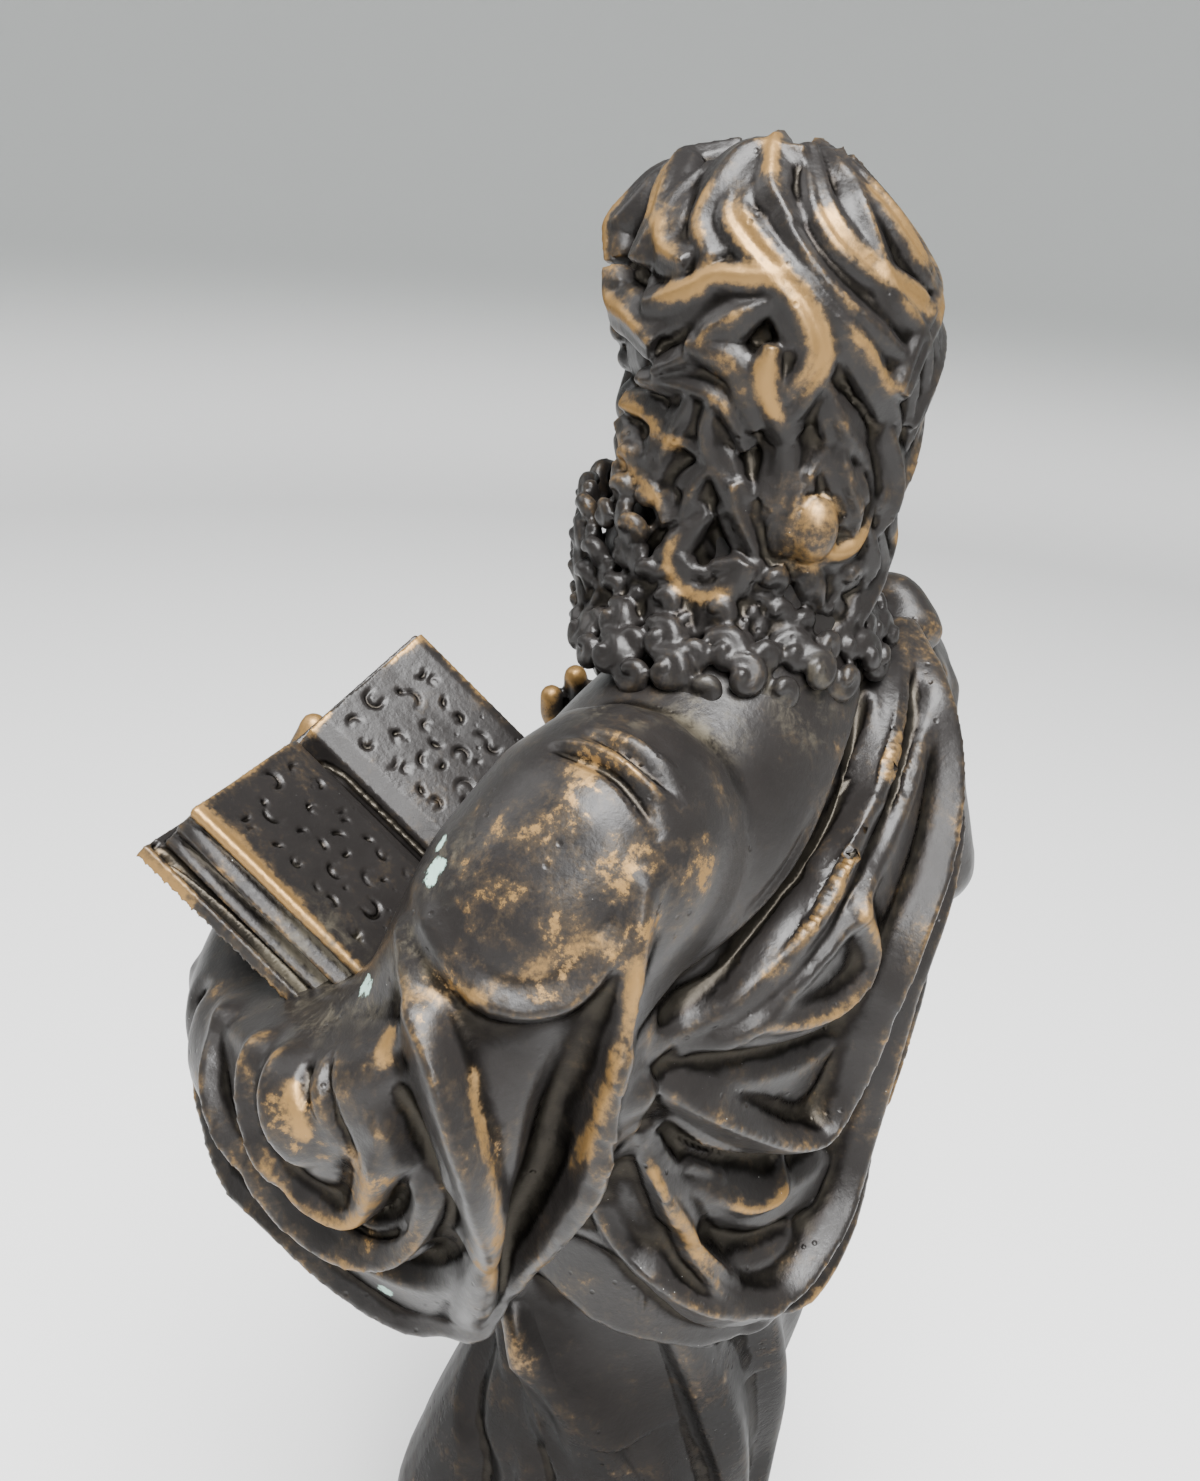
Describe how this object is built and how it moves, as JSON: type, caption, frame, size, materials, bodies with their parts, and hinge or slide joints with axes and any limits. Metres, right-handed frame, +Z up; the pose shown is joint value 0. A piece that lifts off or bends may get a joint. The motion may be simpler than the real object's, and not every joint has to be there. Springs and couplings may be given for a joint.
{
  "type": "bronze saint statue",
  "caption": "Small cast bronze statue of a standing bearded saint in a draped mantle, reading an open book, in one with a low base.",
  "frame": {"origin": "centre of the base's flat underside, on the surface that the statue stands on", "axes": "+Z up along the figure, the figure faces -Y and its left hand is towards +X"},
  "size_m": [0.1006, 0.0829, 0.2703],
  "materials": {
    "bronze": "dark brown patina, satin, worn to golden bronze along ridges and edges"
  },
  "bodies": {
    "root": {"statue": "bronze"}
  },
  "joints": []
}
